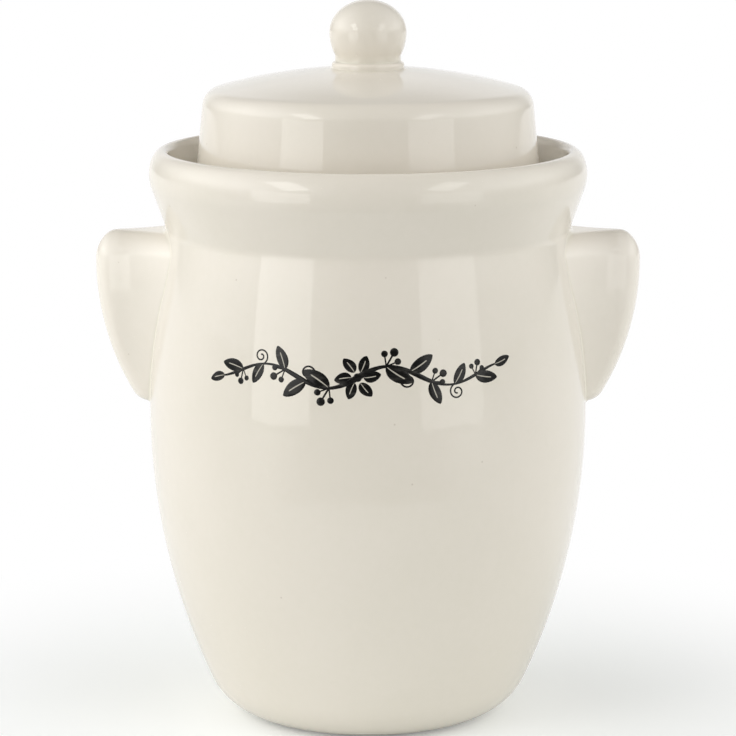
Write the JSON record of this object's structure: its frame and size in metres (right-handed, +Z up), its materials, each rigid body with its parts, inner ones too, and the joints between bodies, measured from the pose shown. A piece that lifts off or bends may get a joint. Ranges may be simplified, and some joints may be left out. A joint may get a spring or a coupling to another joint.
{
  "type": "rumtopf pot",
  "caption": "Barrel-shaped glazed stoneware rum pot with a gutter collar, side lug handles and a deep lift-off lid with a ball knob.",
  "frame": {"origin": "on the table surface under the middle of the round base", "axes": "+Z up along the pot's axis; the handles stand on the X axis; the front faces -Y"},
  "size_m": [0.2506, 0.202, 0.3312],
  "materials": {
    "crock_glaze": "glossy cream glaze",
    "handle_glaze": "glossy cream glaze, thinner on the edges",
    "lid_glaze": "glossy cream glaze",
    "ink_decal": "black ink fired under the glaze"
  },
  "bodies": {
    "crock": {"crock_body": "crock_glaze", "gutter_collar": "crock_glaze", "left_handle": "handle_glaze", "right_handle": "handle_glaze"},
    "lid": {"lid_shell": "lid_glaze", "lid_knob": "lid_glaze"}
  },
  "joints": [
    {"name": "lid_lift", "type": "slide", "parent": "crock", "child": "lid", "axis": [0, 0, 1], "range_m": [0, 0.06]}
  ]
}
